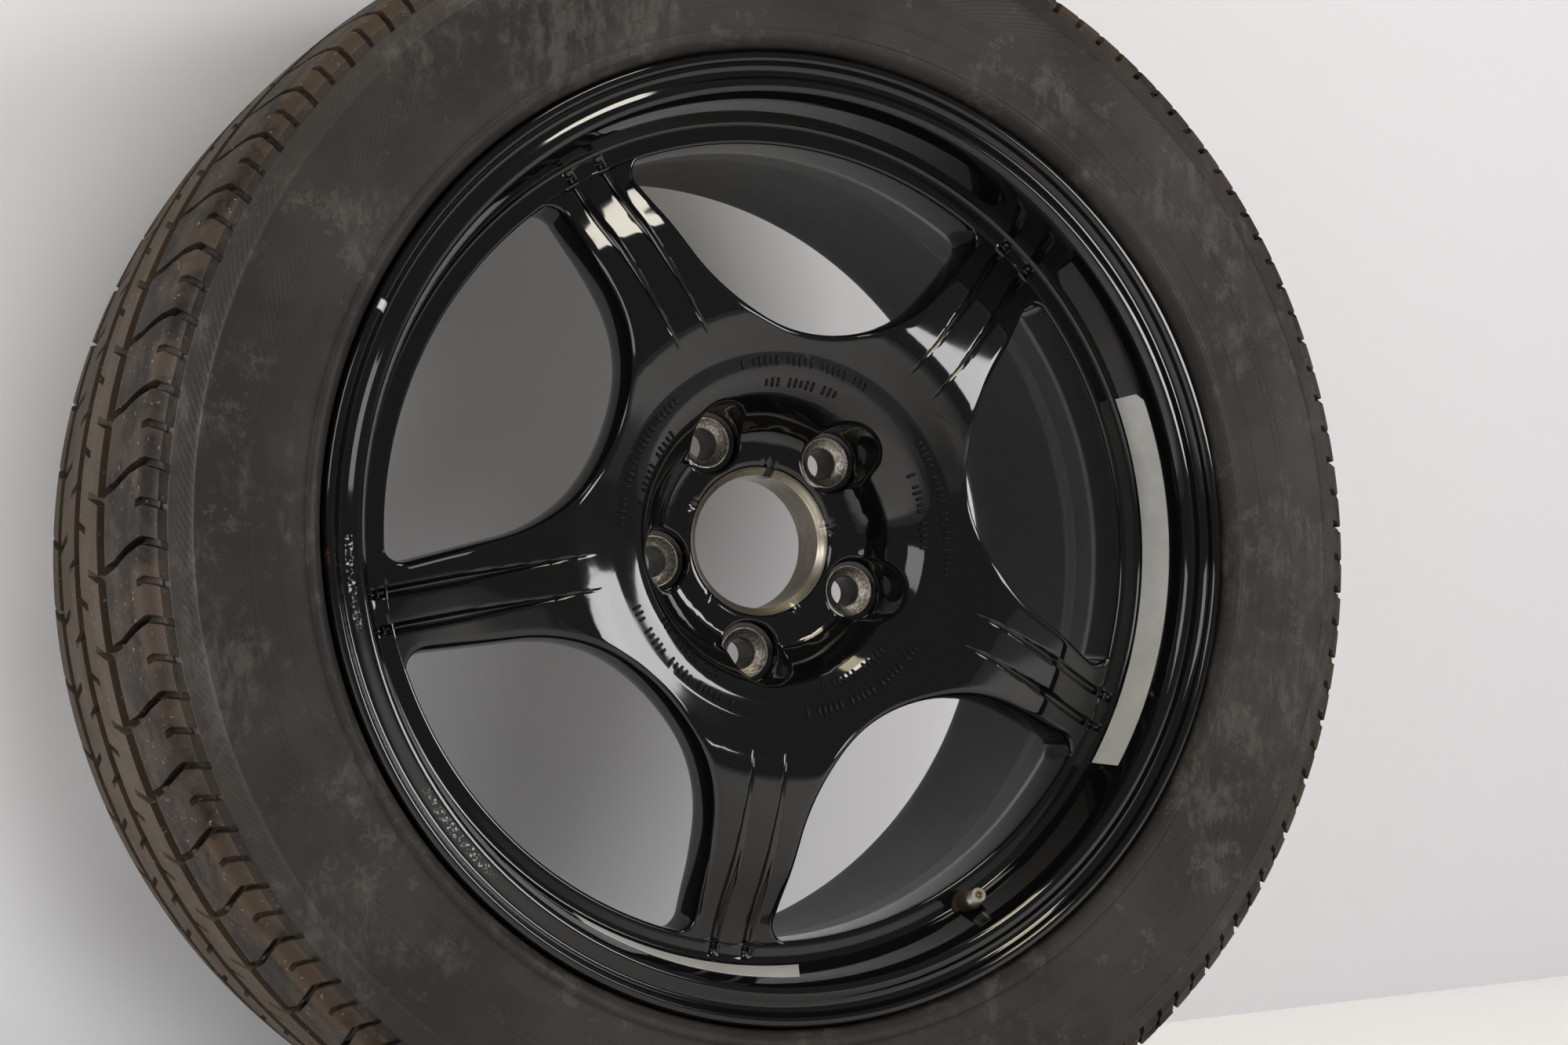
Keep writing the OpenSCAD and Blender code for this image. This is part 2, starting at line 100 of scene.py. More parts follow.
# Roughness, and the strength of a painted glow, standing in for uneven light on it, at the left and at the
# right
FLOOR_FINISH_AND_GLOW = (0.55, 0.21, 0.20)
WALL_FINISH_AND_GLOW = (0.6, 0.25, 0.06)
# Lamps that face the wheel: turn from straight ahead toward the right, height above the axis,
# both in degrees, distance, width, height, brightness of the face, colour
SOFT_LAMPS = {
    "lamp_left": (-102, 14, 2.4, 0.85, 1.55, 15, (1.0, 0.99, 1.0)),
    "lamp_right": (47, 14, 2.2, 1.15, 0.50, 11, (1.0, 0.99, 1.0)),
    "lamp_front": (-50, 17, 2.2, 1.5, 0.62, 3.6, (1.0, 0.99, 1.0)),
    "lamp_high": (-3, 57, 1.8, 0.42, 0.25, 17, (1.0, 0.95, 0.82)),
}
# Warm strip on the ceiling: middle, width, length, brightness, colour
CEILING_LAMP = ((-0.13, -0.10, 1.5), 0.28, 1.5, 8, (1.0, 0.88, 0.60))


def add_plane(name, corners, material):
    mesh = bpy.data.meshes.new(name)
    mesh.from_pydata(corners, [], [tuple(range(len(corners)))])
    obj = bpy.data.objects.new(name, mesh)
    bpy.context.scene.collection.objects.link(obj)
    mesh.materials.append(material)


def add_lamp(name, place, width, height, level, colour):
    data = bpy.data.lights.new(name, "AREA")
    data.shape = "RECTANGLE"
    data.size, data.size_y = width, height
    data.energy = level * math.pi * width * height
    data.color = colour
    lamp = bpy.data.objects.new(name, data)
    lamp.location = place
    bpy.context.scene.collection.objects.link(lamp)
    return lamp


def add_studio():
    reach = STAGE_REACH
    add_plane("floor", [(-reach, -reach, FLOOR_Z), (reach, -reach, FLOOR_Z),
                        (reach, reach, FLOOR_Z), (-reach, reach, FLOOR_Z)],
              backdrop_paint_and_glow("floor_paint_and_glow", FLOOR_COLOUR, *FLOOR_FINISH_AND_GLOW))
    along = Vector((math.cos(WALL_TURN), math.sin(WALL_TURN), 0))
    foot = Vector((0, TYRE_HALF_W + WALL_GAP, FLOOR_Z))
    top = WALL_H * Vector((math.sin(WALL_TURN) * math.sin(WALL_LEAN),
                           -math.cos(WALL_TURN) * math.sin(WALL_LEAN), math.cos(WALL_LEAN)))
    add_plane("backdrop", [foot - WALL_LEFT * along, foot + reach * along,
                           foot + reach * along + top, foot - WALL_LEFT * along + top],
              backdrop_paint_and_glow("wall_paint_and_glow", WALL_COLOUR, *WALL_FINISH_AND_GLOW))
    world = bpy.data.worlds.new("world")
    world.use_nodes = True
    world.node_tree.nodes["Background"].inputs["Color"].default_value = (1, 1, 1, 1)
    world.node_tree.nodes["Background"].inputs["Strength"].default_value = WORLD_LEVEL
    bpy.context.scene.world = world
    for name, (turn, rise, distance, width, height, level, colour) in SOFT_LAMPS.items():
        turn, rise = math.radians(turn), math.radians(rise)
        place = distance * Vector((math.sin(turn) * math.cos(rise), -math.cos(turn) * math.cos(rise),
                                   math.sin(rise)))
        lamp = add_lamp(name, place, width, height, level, colour)
        lamp.rotation_euler = (-place).to_track_quat("-Z", "Y").to_euler()
    add_lamp("lamp_ceiling", *CEILING_LAMP)


# Material helpers

class Nodes:
    """Short calls for building one material's node tree."""

    def __init__(self, name):
        self.material = bpy.data.materials.new(name)
        self.material.use_nodes = True
        self.tree = self.material.node_tree
        self.shader = self.tree.nodes["Principled BSDF"]
        self.place = self.tree.nodes.new("ShaderNodeTexCoord").outputs["Object"]

    def add(self, kind, inputs=(), **settings):
        node = self.tree.nodes.new("ShaderNode" + kind)
        for key, value in settings.items():
            setattr(node, key, value)
        for key, value in dict(inputs).items():
            if isinstance(value, bpy.types.NodeSocket):
                self.tree.links.new(value, node.inputs[key])
            else:
                node.inputs[key].default_value = value
        return node

    def math(self, operation, a, b=0.0, clamp=False):
        node = self.add("Math", {0: a, 1: b}, operation=operation)
        node.use_clamp = clamp
        return node.outputs[0]

    def step(self, value, low, high, out_low=0.0, out_high=1.0):
        node = self.add("MapRange", {"Value": value, "From Min": low, "From Max": high,
                                     "To Min": out_low, "To Max": out_high},
                        interpolation_type="SMOOTHSTEP")
        return node.outputs[0]

    def noise(self, scale, detail=4.0, rough=0.6, stretch=None):
        place = self.place
        if stretch:
            place = self.add("Mapping", {"Vector": place, "Scale": stretch}).outputs[0]
        return self.add("TexNoise", {"Vector": place, "Scale": scale, "Detail": detail,
                                     "Roughness": rough}).outputs["Fac"]

    def mix(self, factor, a, b):
        node = self.add("Mix", {"Factor": factor, "A": a, "B": b}, data_type="RGBA")
        return node.outputs["Result"]

    def polar(self):
        """Distance from the wheel's axis, distance outboard and turn in degrees, in metres."""
        split = self.add("SeparateXYZ", {0: self.place})
        x, y, z = split.outputs
        radius = self.math("SQRT", self.math("ADD", self.math("MULTIPLY", x, x),
                                             self.math("MULTIPLY", z, z)))
        outboard = self.math("MULTIPLY", y, -1.0)
        turn = self.math("DEGREES", self.math("ARCTAN2", z, x))
        return radius, outboard, turn

    def link(self, socket, value):
        self.tree.links.new(value, self.shader.inputs[socket])

    def bump(self, height, distance, strength=1.0):
        node = self.add("Bump", {"Height": height, "Distance": distance, "Strength": strength})
        self.link("Normal", node.outputs["Normal"])

    def set(self, **values):
        for key, value in values.items():
            self.shader.inputs[key.replace("_", " ")].default_value = value
        return self


# Finishes

BLACK = (0.0032, 0.0032, 0.0036, 1)
MATTE_BLACK = (0.010, 0.0095, 0.0105, 1)
SEAT_BRIGHT = (0.62, 0.58, 0.52, 1)
SEAT_DULL = (0.27, 0.24, 0.20, 1)
HOLE_METAL = (0.10, 0.092, 0.082, 1)
BORE_BRIGHT = (0.60, 0.55, 0.45, 1)
BORE_DULL = (0.46, 0.42, 0.34, 1)
DARK_REFLECTION = (0.02, 0.018, 0.016, 1)
PRIMER = (0.62, 0.61, 0.58, 1)
RUST = (0.055, 0.020, 0.009, 1)
RUBBER_DARK = (0.0140, 0.0118, 0.0107, 1)
RUBBER_PALE = (0.027, 0.0230, 0.0205, 1)
SCUFF = (0.078, 0.072, 0.066, 1)
STREAK = (0.115, 0.108, 0.100, 1)
BLOCK_DARK = (0.0080, 0.0062, 0.0048, 1)
BLOCK_DUSTY = (0.028, 0.0198, 0.0140, 1)
RIB_DUST = (0.070, 0.050, 0.034, 1)
SHOULDER_DUST = (0.062, 0.043, 0.029, 1)
SIDE_DUST = (0.034, 0.026, 0.020, 1)
GRIT = (0.17, 0.13, 0.09, 1)

# Spots of wear, and one painted dark reflection at the top of the bore's mouth: distance from the axis in
# metres, turn in degrees, and half of each extent
BORE_DARK_REFLECTION = (0.0345, 79, 0.004, 3.2)
LIP_CHIPS = ((0.2232, -175.0, 0.0012, 4.5), (0.2225, -142.0, 0.0014, 4.5))
LARGE_CHIP = (0.2312, 153.2, 0.0016, 0.45)
RUST_SPOT = (0.2345, -177.5, 0.0008, 0.7)
# Thin rings on the sidewall, and the middle and half width of its hatched band, in metres
SIDE_RINGS = (0.2705, 0.2435, 0.2570, 0.2735)
HATCH_BAND = (0.288, 0.0135)


def backdrop_paint_and_glow(name, colour, roughness, glow_left, glow_right):
    """Pale paint with a painted glow that camera, glossy and transmission rays see, none near the wheel
    where its shadow falls and growing away from it; camera rays pass through it from behind.
    """
    n = Nodes(name)
    n.set(Base_Color=colour, Roughness=roughness, Emission_Color=colour)
    radius = n.polar()[0]
    place = n.add("SeparateXYZ", {0: n.place}).outputs
    across, height = place[0], place[2]
    # The lift is painted light: a glow standing in for light falling unevenly on the backdrop, set at the
    # left and the right, kept off near the wheel where its shadow falls, and stronger lower down
    lift = n.math("MULTIPLY", n.step(across, -0.4, 0.6, glow_left, glow_right),
                  n.step(radius, 0.30, 0.40))
    lift = n.math("MULTIPLY", lift, n.step(height, -0.30, 0.30, 1.35, 0.6))
    rays = n.add("LightPath").outputs
    seen = n.math("ADD", rays["Is Camera Ray"], rays["Is Glossy Ray"])
    seen = n.math("ADD", seen, rays["Is Transmission Ray"], True)
    n.link("Emission Strength", n.math("MULTIPLY", lift, seen))
    back = n.math("MULTIPLY", n.add("NewGeometry").outputs["Backfacing"], rays["Is Camera Ray"])
    n.link("Alpha", n.math("SUBTRACT", 1.0, back))
    return n.material


def band(n, value, middle, half, soft):
    """1 inside a band of a value, falling to 0 over a soft edge."""
    away = n.math("ABSOLUTE", n.math("SUBTRACT", value, middle))
    return n.step(away, half + soft, half)


def spot(n, radius, turn, at_radius, at_turn, half_radius, half_turn):
    """1 inside a soft patch at a distance from the axis and a turn in degrees."""
    return n.math("MULTIPLY", band(n, radius, at_radius, half_radius, half_radius * 0.6),
                  band(n, turn, at_turn, half_turn, half_turn * 0.6))


def nearest_bolt(n):
    """Distance from the axis of the nearest bolt hole, in metres."""
    radius, _, turn = n.polar()
    step = 360 / SPOKES
    shifted = n.math("ADD", turn, 720 - FIRST_SPOKE + step / 2)
    off = n.math("RADIANS", n.math("SUBTRACT", n.math("MODULO", shifted, step), step / 2))
    x = n.math("SUBTRACT", n.math("MULTIPLY", radius, n.math("COSINE", off)), BOLT * MM)
    y = n.math("MULTIPLY", radius, n.math("SINE", off))
    return n.math("SQRT", n.math("ADD", n.math("MULTIPLY", x, x), n.math("MULTIPLY", y, y)))


def black_paint():
    """Gloss black with bare machined bore and bolt seats, a painted dark reflection at the top of the
    bore's mouth, chips on the lip and a matte barrel.
    """
    n = Nodes("black_paint")
    radius, outboard, turn = n.polar()
    bore = n.step(radius, 0.0372, 0.0366)
    bolt = nearest_bolt(n)
    seat = n.math("MULTIPLY", n.step(bolt, 0.0130, 0.0124), n.step(outboard, 0.0615, 0.0606))
    bare = n.math("MAXIMUM", bore, seat)
    scratch = n.noise(60, 5, 0.6, (1, 14, 1))
    speck = n.noise(700, 4, 0.7)
    rough_metal = n.mix(n.step(speck, 0.42, 0.58), SEAT_BRIGHT, SEAT_DULL)
    rough_metal = n.mix(n.step(bolt, 0.0084, 0.0076), rough_metal, HOLE_METAL)
    turned = n.mix(n.step(scratch, 0.42, 0.58), BORE_BRIGHT, BORE_DULL)
    metal = n.mix(seat, turned, rough_metal)
    # Painted dark reflection: a dark, dull patch at the top of the bore's mouth, where the bare metal
    # reflects dark parts
    dark_reflection = spot(n, radius, turn, *BORE_DARK_REFLECTION)
    dark_reflection = n.math("MULTIPLY", dark_reflection, n.step(outboard, 0.050, 0.056))
    colour = n.mix(bare, BLACK, n.mix(dark_reflection, metal, DARK_REFLECTION))
    inside = n.math("MULTIPLY", n.step(radius, 0.190, 0.194), n.step(outboard, 0.052, 0.048))
    colour = n.mix(inside, colour, MATTE_BLACK)
    chips = n.math("MAXIMUM", *[spot(n, radius, turn, *place) for place in LIP_CHIPS])
    chips = n.math("MULTIPLY", chips, n.step(n.noise(620, 5, 0.75), 0.555, 0.575))
    front = n.step(outboard, 0.090, 0.100)
    chip = n.math("MAXIMUM", chips, spot(n, radius, turn, *LARGE_CHIP))
    chip = n.math("MULTIPLY", chip, front)
    colour = n.mix(chip, colour, PRIMER)
    rust = n.math("MULTIPLY", spot(n, radius, turn, *RUST_SPOT),
                  n.step(n.noise(700, 4, 0.7), 0.48, 0.54))
    colour = n.mix(n.math("MULTIPLY", rust, front), colour, RUST)
    n.link("Base Color", colour)
    n.link("Metallic", n.math("MULTIPLY", bare, n.math("SUBTRACT", 1.0, dark_reflection)))
    smooth = n.step(n.noise(45, 4, 0.6), 0.3, 0.8, 0.05, 0.09)
    smooth = n.math("ADD", smooth, n.math("MULTIPLY", inside, 0.32))
    smooth = n.math("ADD", smooth, n.math("MULTIPLY", chip, 0.5))
    rough = n.math("MULTIPLY", bare, n.step(scratch, 0.3, 0.8, 0.20, 0.34))
    n.link("Roughness", n.math("ADD", smooth, rough))
    n.bump(n.math("MULTIPLY", speck, seat), 0.0006, 0.6)
    return n.material


def tyre_rubber():
    """Dull black rubber: brown dust and specks on the tread, grey scuffs and fine hatching."""
    n = Nodes("tyre_rubber")
    radius, outboard, turn = n.polar()
    tread = n.step(radius, 0.3035, 0.312)
    grain = n.noise(9, 5, 0.65)
    base = n.mix(n.step(grain, 0.40, 0.60), RUBBER_DARK, RUBBER_PALE)
    scuffs = n.math("MULTIPLY", n.step(n.noise(15, 8, 0.72), 0.49, 0.60),
                    n.step(n.noise(120, 7, 0.75, (1, 1, 0.4)), 0.42, 0.58))
    base = n.mix(n.math("MULTIPLY", scuffs, 0.6), base, SCUFF)
    streaks = n.step(n.noise(38, 8, 0.8), 0.585, 0.60)
    base = n.mix(n.math("MULTIPLY", streaks, 0.25), base, STREAK)
    worn = n.mix(n.step(n.noise(34, 6, 0.7), 0.42, 0.58), BLOCK_DARK, BLOCK_DUSTY)
    centre = n.step(outboard, 0.070, 0.052)
    worn = n.mix(n.math("MULTIPLY", centre, 0.55), worn, RIB_DUST)
    edge = n.math("MULTIPLY", n.step(outboard, 0.098, 0.106),
                  n.step(n.noise(22, 4, 0.6), 0.46, 0.54))
    worn = n.mix(n.math("MULTIPLY", edge, 0.6), worn, SHOULDER_DUST)
    worn = n.mix(n.step(n.noise(330, 3, 0.6), 0.665, 0.69), worn, GRIT)
    low = n.math("MULTIPLY", n.step(n.noise(12, 5, 0.7), 0.46, 0.56),
                 n.step(radius, 0.290, 0.306))
    side = n.mix(n.math("MULTIPLY", low, 0.5), base, SIDE_DUST)
    n.link("Base Color", n.mix(tread, side, worn))
    n.link("Roughness", n.step(n.noise(14, 4, 0.6), 0.2, 0.8, 0.50, 0.72))
    n.link("Specular IOR Level", n.math("SUBTRACT", 0.34, n.math("MULTIPLY", tread, 0.24)))
    slant = n.math("ADD", n.math("MULTIPLY", turn, 6.5), n.math("MULTIPLY", radius, 2600.0))
    hatch = n.math("MULTIPLY", n.math("SINE", slant), band(n, radius, *HATCH_BAND, 0.001))
    lines = 0.0
    for at in SIDE_RINGS:
        lines = n.math("MAXIMUM", lines, band(n, radius, at, 0.0005, 0.0004))
    height = n.math("ADD", n.math("MULTIPLY", hatch, 0.16), n.math("MULTIPLY", lines, 0.8))
    height = n.math("ADD", height, n.math("MULTIPLY", n.noise(900, 3, 0.6), 0.45))
    n.bump(height, 0.0005, 0.6)
    return n.material


def simple_metal(name, colour, roughness, scale=300):
    n = Nodes(name)
    n.set(Metallic=1.0)
    n.link("Base Color", n.mix(n.step(n.noise(scale), 0.3, 0.7), colour,
                               tuple(0.7 * c for c in colour[:3]) + (1,)))
    n.link("Roughness", n.step(n.noise(scale * 2), 0.2, 0.8, roughness, roughness + 0.15))
    return n.material


def simple_rubber(name, colour):
    n = Nodes(name)
    n.link("Base Color", n.mix(n.step(n.noise(220), 0.35, 0.7), colour,
                               tuple(1.6 * c for c in colour[:3]) + (1,)))
    n.set(Roughness=0.6)
    n.bump(n.noise(1500), 0.0002, 0.4)
    return n.material


def foil():
    n = Nodes("foil")
    n.link("Base Color", n.mix(n.step(n.noise(40), 0.3, 0.7), (0.80, 0.80, 0.77, 1),
                               (0.68, 0.68, 0.66, 1)))
    n.set(Metallic=0.35, Roughness=0.33)
    return n.material


def add_skin(mesh, material, crease=CREASE):
    """Shades a mesh smooth up to its creases and puts it in the scene."""
    mesh.polygons.foreach_set("use_smooth", [True] * len(mesh.polygons))
    mesh.set_sharp_from_angle(angle=math.radians(crease))
    obj = bpy.data.objects.new(mesh.name, mesh)
    bpy.context.scene.collection.objects.link(obj)
    mesh.materials.append(material)
    return obj


# Tyre: half section from the crown to the bead as distances from the axis and outboard

PITCHES = 64
PITCH_START = 219.4
PITCH_WAVES = 4
PITCH_SWING = 0.345
PITCH_PHASE = 166
TREAD_DEPTH = 7 * MM
GROOVE_HALF = 7 * MM
OUTER_GROOVE = (48 * MM, 63 * MM)
TREAD_EDGE = 106 * MM
SLOT_END = 125 * MM
BAND_END = 133 * MM


def smooth_curve(points, steps):
    """Points of a curve that passes smoothly through the given ones."""
    points = np.array(points, float)
    ends = np.vstack([2 * points[0] - points[1], points, 2 * points[-1] - points[-2]])
    out = []
    for i in range(len(points) - 1):
        a, b, c, d = ends[i:i + 4]
        for k in range(steps):
            t = k / steps
            out.append(0.5 * (2 * b + (c - a) * t + (2 * a - 5 * b + 4 * c - d) * t * t
                              + (3 * b - 3 * c + d - a) * t ** 3))
    out.append(points[-1])
    return np.array(out)


def half_section():
    """Outer surface of the tyre's outboard half, crown first, as (radius, outboard)."""
    tip, belly = RIM_TIP_R / MM, TYRE_HALF_W / MM
    crown = TYRE_R / MM
    return MM * smooth_curve([
        (crown, 0), (crown - 0.1, 18), (crown - 0.5, 38), (crown - 1.3, 56), (crown - 2.4, 74),
        (crown - 4.2, 93), (crown - 6.5, 106), (crown - 9.0, 110), (crown - 13.5, 114.2),
        (tip + 74, 116.6), (tip + 69, 118.2), (tip + 58, belly - 2), (tip + 43, belly),
        (tip + 25, belly - 0.9), (tip + 12.5, belly - 2.4)], 12)


def shear(u):
    """How far a slot leads its apex around the tyre, in metres, at a distance along the section."""
    stations = [0, 7, 26, 48, 63, 66, 80, 98, 111, 118, 125, 140]
    shifts = [4, 4, 9, 14, 11.2, 10.8, 9.1, 4.2, 0, 1.6, 3.8, 3.8]
    return np.interp(u, np.array(stations) * MM, np.array(shifts) * MM)


# Columns of one pitch: where they lie, as a share of the pitch, and what they belong to
COLUMNS = [(-0.058, "edge_a"), (-0.044, "slot_a"), (0.044, "slot_a"), (0.058, "edge_a"),
           (0.16, "block"), (0.27, "block"), (0.38, "block"), (0.446, "edge_b"), (0.46, "slot_b"),
           (0.54, "slot_b"), (0.554, "edge_b"), (0.64, "block"), (0.74, "block"), (0.84, "block")]


def tread_rows():
    """Distances along the section at which the tread's rows lie, with the groove walls doubled."""
    wall = 0.7 * MM
    g0, g1 = OUTER_GROOVE
    return np.array(
        [0, GROOVE_HALF - wall, GROOVE_HALF]
        + list(np.linspace(GROOVE_HALF, g0, 9)[1:])
        + [g0 + wall, (g0 + g1) / 2, g1 - wall, g1, g1 + 1.2 * MM]
        + list(np.linspace(g1, TREAD_EDGE, 9)[1:])
        + [x * MM for x in (108.5, 111, 114, 117, 120, 122.5, 124.4, 125.0, 128, 130.6, 131.2, 132, 132.6)])


def relief(u, kind):
    """Depth below the tread's own surface for one row and one kind of column."""
    g0, g1 = OUTER_GROOVE
    if u < GROOVE_HALF - 1e-6:
        return TREAD_DEPTH
    if g0 + 1e-6 < u < g1 - 1e-6:
        return TREAD_DEPTH + 0.5 * MM
    depth = 0.0
    if 104 * MM < u < SLOT_END - 1e-6:
        depth = 0.8 * MM
    if kind == "slot_a" and g1 - 1e-6 < u < SLOT_END - 0.3 * MM:
        depth = np.interp(u / MM, [63, 66, 108, 118, 124.5], [7, 6.0, 5.5, 4.2, 3.2]) * MM
    if kind == "slot_a" and 30 * MM < u <= g0 + 1e-6:
        depth = 4.5 * MM
    if kind == "slot_b" and 108 * MM < u < 124 * MM:
        depth = 3.4 * MM
    if kind == "slot_b" and GROOVE_HALF - 1e-6 < u < 22 * MM:
        depth = 4.5 * MM
    return depth


def ring_points(radius, outboard, angles):
    """Points at these angles, in degrees, around the wheel's axis."""
    a = np.radians(angles)
    return np.stack([radius * np.cos(a), -outboard + 0 * a, radius * np.sin(a)], 1)


def pitch_angles(lead):
    """Angles of every column, in degrees, moved around by a lead in metres."""
    turns = []
    for i in range(PITCHES):
        starts = [(k + PITCH_SWING * math.sin(math.radians(k * 360 * PITCH_WAVES / PITCHES
                                                           + PITCH_PHASE))) * 360 / PITCHES
                  for k in (i, i + 1)]
        turns += [starts[0] + share * (starts[1] - starts[0]) for share, _ in COLUMNS]
    return PITCH_START + np.array(turns) + np.degrees(lead / TYRE_R)


def tyre_ring_list():
    """Rings of the outboard half, crown first: fine over the tread, coarser on the sidewall."""
    section = half_section()
    steps = np.linalg.norm(np.diff(section, axis=0), axis=1)
    along = np.concatenate([[0], np.cumsum(steps)])
    tangent = np.gradient(section, along, axis=0)
    kinds = [kind for _, kind in COLUMNS] * PITCHES
    rings = []
    for u in tread_rows():
        r, z = (np.interp(u, along, section[:, k]) for k in (0, 1))
        tr, tz = (np.interp(u, along, tangent[:, k]) for k in (0, 1))
        normal = np.array([tz, -tr]) / math.hypot(tr, tz)
        depth = np.array([relief(u, kind) for kind in kinds])
        angles = pitch_angles(shear(u))
        rings.append(ring_points(r - depth * normal[0], z - depth * normal[1], angles))
    coarse = pitch_angles(shear(BAND_END))[::2]
    tip, belly = RIM_TIP_R / MM, TYRE_HALF_W / MM
    ridge = BAND_END + 3 * MM
    side = [(BAND_END, 0), (ridge - 0.7 * MM, 0), (ridge, 0.7 * MM), (ridge + 0.9 * MM, 0.1 * MM)]
    side += [(u, 0) for u in np.linspace(ridge + 4 * MM, along[-1], 12)]
    for u, lift in side:
        r, z = (np.interp(u, along, section[:, k]) for k in (0, 1))
        rings.append(ring_points(r, z + lift, coarse))
    for r, z in [(tip + 11.2, belly - 2.6), (tip + 10, belly - 2.5), (tip + 9.4, belly - 1.7),
                 (tip + 8.4, belly - 1.3), (tip + 6.8, belly - 1.3), (tip + 5.6, belly - 1.9),
                 (tip + 4.4, belly - 3.2), (tip + 3.0, belly - 5.6), (tip + 1.5, belly - 8.4),
                 (tip + 0.45, belly - 12.5), (tip + 0.4, belly - 16), (tip - 6, belly - 22),
                 (tip - 12, belly - 27), (tip - 17.2, belly - 33), (tip - 18.4, belly - 40),
                 (tip + 4, belly - 34), (tip + 30, belly - 10), (tip + 60, belly - 14),
                 (tip + 74, belly - 34)]:
        rings.append(ring_points(r * MM, z * MM, coarse))
    rings.append(ring_points(TYRE_R - 14 * MM, 0, coarse))
    return rings


def build_tyre():
    """One closed mesh from the outboard half's rings and their mirror image."""
    out = tyre_ring_list()
    fine = len(COLUMNS) * PITCHES
    half_pitch = math.radians(180 / PITCHES)
    turn = np.array([[math.cos(half_pitch), 0, -math.sin(half_pitch)], [0, -1, 0],
                     [math.sin(half_pitch), 0, math.cos(half_pitch)]])
    back = [ring @ turn.T for ring in out]
    vertices, faces = [], []
    count = 0

    def bridge(a, b, na, nb, flip):
        """Faces between two rings; a finer ring meets a coarser one with triangles."""
        new = []
        if na == nb:
            for i in range(na):
                j = (i + 1) % na
                new.append((a + i, a + j, b + j, b + i))
        else:
            for k in range(nb):
                f0, f1, f2 = 2 * k, 2 * k + 1, (2 * k + 2) % na
                c1 = (k + 1) % nb
                new += [(a + f0, a + f1, b + k), (a + f1, a + f2, b + c1),
                        (a + f1, b + c1, b + k)]
        return [tuple(reversed(f)) for f in new] if flip else new

    starts = {}
    for side, rings in (("out", out), ("back", back)):
        for k, ring in enumerate(rings):
            if side == "back" and k == 0:
                continue
            starts[side, k] = count
            vertices.append(ring)
            count += len(ring)
    for side, rings in (("out", out), ("back", back)):
        flip = side == "out"
        for k in range(len(rings) - 1):
            if side == "back" and k == 0:
                continue
            faces += bridge(starts[side, k], starts[side, k + 1], len(rings[k]),
                            len(rings[k + 1]), flip)
    faces += bridge(starts["out", 0], starts["back", 1], fine, fine, False)
    last = len(out) - 1
    faces += bridge(starts["out", last], starts["back", last], fine // 2, fine // 2, True)
    mesh = bpy.data.meshes.new("tyre_skin")
    mesh.from_pydata(np.concatenate(vertices).tolist(), [], faces)
    mesh.validate()
    obj = add_skin(mesh, tyre_rubber())
    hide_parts("tyre")
    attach(obj, "wheel")


# Casting: stations of its section as distances from the axis and outboard, in millimetres

FIRST_SPOKE = 117.6
SPOKES = 5
HALF_STEP = 180 / SPOKES
TIP = RIM_TIP_R / MM
LIP = LIP_Z / MM
SEAT = TIP - 17.3
HALF_W = LIP - 11.6
RING = HALF_W - 26
BARREL = SEAT - 20.2
WINDOW = BARREL - 1.1
WINDOW_HUB = 102.4
BORE = 33.3
FACE = 34
POCKET = FACE + 26
PAD = POCKET + 6.8
SHELF = POCKET + 39.6
BOLT = 56
HUB_OUT = BORE + 58
DISC_OUT = WINDOW + 6
SPOKE_T = 27
SPOKE_HALF = 22.5
TAPER = 4.2
CORNER = 8
FLUTE_AT = 8.5
FLUTE_W = 4.8
FLUTE_DEPTH = 2.6
POCKET_R = 15.5
HOLE_R = 7.5
SEAT_BALL = 14
SEAT_R = 12.2

HUB_FRONT = [(BORE, PAD - 6.2), (BORE + 1.7, PAD - 4.4), (BORE + 3.4, PAD - 2.5), (BORE + 4.5, PAD - 0.9),
             (BORE + 6.4, PAD), (BORE + 10, PAD), (BOLT - 8, PAD), (BOLT - 5, PAD + 0.2),
             (BOLT - 1.5, PAD + 2), (BOLT + 2, PAD + 7.4), (BOLT + 5, PAD + 12.8),
             (BOLT + 10, SHELF - 13.6), (BOLT + 14, SHELF - 8.6), (BOLT + 18.5, SHELF - 4.4),
             (BOLT + 25, SHELF - 1.3), (HUB_OUT, SHELF + 0.4)]
CROWN = [(HUB_OUT, SHELF + 0.4), (WINDOW_HUB - 2, SHELF + 3.2), (WINDOW_HUB + 9, SHELF + 6.8),
         (WINDOW_HUB + 22, SHELF + 6.6), (WINDOW_HUB + 42, SHELF + 2.8), (WINDOW - 35, RING + 15.2),
         (WINDOW - 20, RING + 7.6), (WINDOW - 8, RING + 2.4), (BARREL, RING), (DISC_OUT, RING - 1.2)]
FRONT = np.vstack([smooth_curve(HUB_FRONT, 8)[:-1], smooth_curve(CROWN, 10)])
HUB_BACK = [(BORE, FACE + 3.1), (BORE + 3.1, FACE), (73, FACE), (74.6, FACE + 0.8), (76, FACE + 3),
            (80, FACE + 18), (85, FACE + 32), (92, FACE + 38.5),
            (WINDOW_HUB - 2, SHELF + 3.2 - SPOKE_T)]


def front_z(r):
    return np.interp(r, FRONT[:, 0], FRONT[:, 1])


def back_z(r):
    hub = np.array(HUB_BACK)
    spoke = front_z(r) - SPOKE_T * np.interp(r, [WINDOW - 16, WINDOW], [1, 1.02])
    return np.where(np.asarray(r) < hub[-1, 0], np.interp(r, hub[:, 0], hub[:, 1]), spoke)


